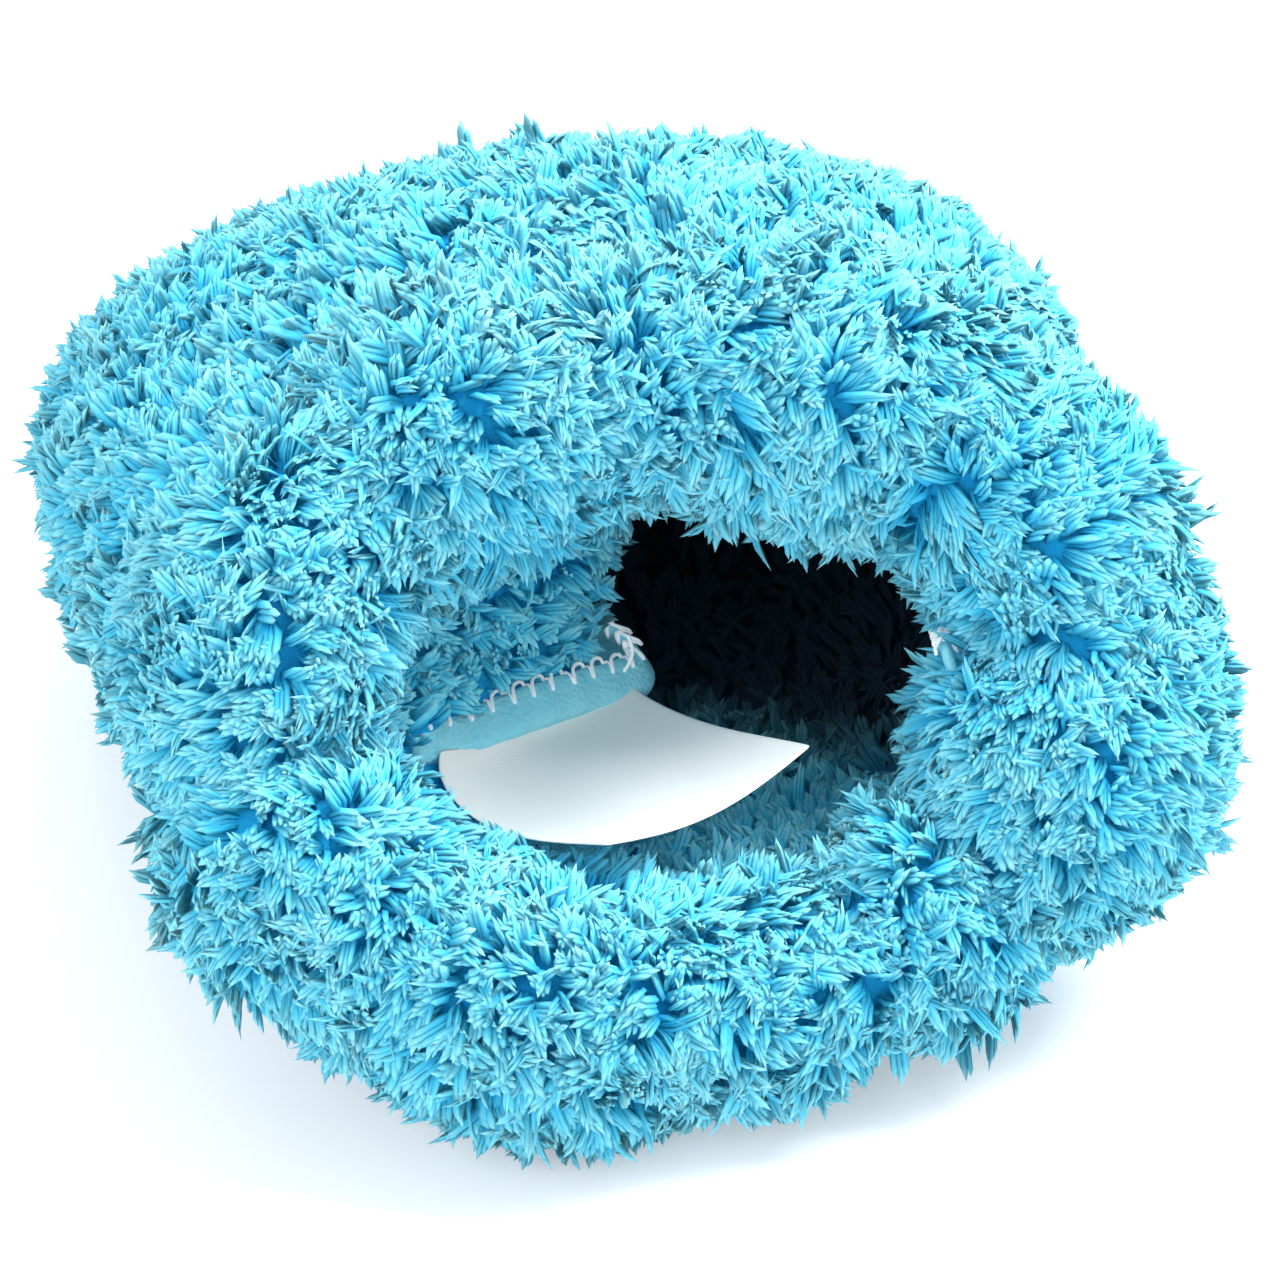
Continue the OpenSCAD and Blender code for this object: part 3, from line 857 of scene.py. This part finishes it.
def pileFinish(name, c):
    shader = Shader(name)
    lockAt = shader.node("ShaderNodeAttribute", {"attribute_name": "lock"}, {}, out="Vector")
    split = shader.node("ShaderNodeSeparateXYZ", {}, {0: lockAt})
    along, across, tone = (Wire(shader, split.socket.node.outputs[k]) for k in range(3))
    strandAt = shader.node("ShaderNodeCombineXYZ", {}, {
        0: across * 1.6 + tone * 37.0, 1: along * 0.8, 2: tone * 91.0})
    strands = shader.noise(strandAt, 2.6, 3.0, 0.65)
    patches = shader.noise(shader.objectPlace(), 38.0, 2.0)
    level = along * 0.80 + (strands - 0.5) * 0.30 + (tone - 0.5) * 0.20 + (patches - 0.5) * 0.25
    # painted shade and highlight: the ramp darkens each lock toward its root and pales it toward its tip; the tone,
    # strand and patch shifts are the fabric's own variation
    colour = shader.node("ShaderNodeValToRGB", {"stops": [
        (0.0, c["root"]), (0.22, c["deep"]), (0.48, c["middle"]), (0.74, c["pale"]), (0.95, c["tip"])]}, {0: level})
    own = shader.node("ShaderNodeNewGeometry", {}, {}, out="Normal")
    facing = shader.node("ShaderNodeAttribute", {"attribute_name": "pileFacing"}, {}, out="Vector")
    soft = shader.node("ShaderNodeMix", {"data_type": "VECTOR"}, {0: c["softness"], 4: own, 5: facing}, out=1)
    soft = shader.node("ShaderNodeVectorMath", {"operation": "NORMALIZE"}, {0: soft})
    normal = shader.node("ShaderNodeBump", {}, {"Height": strands, "Strength": 0.3, "Distance": 0.0005,
                                                "Normal": soft})
    return shader.cloth(paintCavityShade(shader, colour, c), normal, 0.80 + strands * 0.15, 0.05, c["paintedGlow"])


def skinFinish(name, c):
    shader = Shader(name)
    place = shader.objectPlace()
    knit = shader.noise(place, 900.0, 2.0)
    # painted shade: the backing takes the pile's root and deep blues, the shade deep in the pile; the knit noise is
    # its own variation
    colour = shader.mix(knit, (*c["root"], 1), (*c["deep"], 1))
    return shader.cloth(paintCavityShade(shader, colour, c), shader.bump(knit, 0.6, 0.0006), 0.9 + knit * 0.05, 0.1)


def backingFinish():
    shader = Shader("paleBacking")
    place = shader.objectPlace()
    ribs = shader.node("ShaderNodeTexVoronoi", {}, {"Vector": place, "Scale": 1300.0})
    stain = shader.noise(place, 160.0, 3.0)
    colour = shader.mix(stain, (0.20, 0.72, 0.88, 1), (0.42, 0.88, 0.96, 1))
    return shader.cloth(colour, shader.bump(ribs, 0.5, 0.0004), 0.85 + stain * 0.1, 0.1)


def threadFinish():
    shader = Shader("whiteThread")
    twist = shader.noise(shader.objectPlace(), 2400.0, 2.0)
    colour = shader.mix(twist, (0.86, 0.93, 0.96, 1), (0.97, 0.98, 0.99, 1))
    # painted light: the thread glows a little in its own colour so its loops read brighter
    return shader.cloth(colour, shader.bump(twist, 0.5, 0.0002), 0.55 + twist * 0.2, 0.1, 0.18)


def labelFinish():
    shader = Shader("wovenLabel")
    place = shader.objectPlace()
    weave = shader.node("ShaderNodeTexWave", {"wave_type": "BANDS", "bands_direction": "Y"},
                        {"Vector": place, "Scale": 620.0, "Distortion": 0.6, "Detail": 1.0})
    haze = shader.noise(place, 90.0, 3.0)
    colour = shader.mix(haze, (0.90, 0.90, 0.86, 1), (0.95, 0.95, 0.92, 1))
    return shader.cloth(colour, shader.bump(weave + haze * 2.0, 0.12, 0.0003), 0.5 + haze * 0.25, 0.05)


def elasticFinish():
    shader = Shader("ribbedElastic")
    place = shader.objectPlace()
    ribs = shader.node("ShaderNodeTexWave", {"wave_type": "BANDS"}, {"Vector": place, "Scale": 420.0})
    colour = shader.mix(ribs, (0.70, 0.70, 0.68, 1), (0.90, 0.90, 0.88, 1))
    return shader.cloth(colour, shader.bump(ribs, 0.5, 0.0003), 0.7 + ribs * 0.1, 0.05)


def dress(obj, material):
    obj.data.materials.clear()
    obj.data.materials.append(material)


skyPile = pileFinish("skyPile", pileColours)
liningFinish = pileFinish("skyLiningPile", liningColours)
skyBacking = skinFinish("skyBacking", pileColours)
for obj in cuffPiles + panelPiles:
    dress(obj, skyPile)
for obj in liningPiles:
    dress(obj, liningFinish)
for obj in (backSkin, palmSkin, cuffSkin):
    dress(obj, skyBacking)
for obj in (backLiningSkin, palmLiningSkin):
    dress(obj, skinFinish("skyLiningBacking", liningColours))
pale, white = backingFinish(), threadFinish()
dress(leftAllowance, pale)
dress(rightAllowance, pale)
dress(leftThread, white)
dress(rightThread, white)
dress(label, labelFinish())
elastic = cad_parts["wrist_elastic"]
dress(elastic, elasticFinish())
dress(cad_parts["end_seam_allowance"], pale)
dress(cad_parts["end_overlock"], white)
print("finishes mixed")


# what rides and what it stands for

for obj, nodes, slot in (
        (backSkin, ["back_panel"], "outer_plush"), (palmSkin, ["palm_panel"], "outer_plush"),
        (backLiningSkin, ["back_lining"], "lining_plush"), (palmLiningSkin, ["palm_lining"], "lining_plush"),
        (cuffSkin, ["cuff_back", "cuff_palm"], "cuff_plush"),
        (leftAllowance, ["left_seam_allowance"], "backing"), (rightAllowance, ["right_seam_allowance"], "backing"),
        (leftThread, ["left_overlock"], "thread"), (rightThread, ["right_overlock"], "thread")):
    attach(obj, "mitt")
    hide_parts(*nodes)
for group, slot in ((cuffPiles, "cuff_plush"), (panelPiles, "outer_plush"), (liningPiles, "lining_plush")):
    for obj in group:
        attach(obj, "mitt")
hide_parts("care_label")
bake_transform(label)

print("pieces riding")
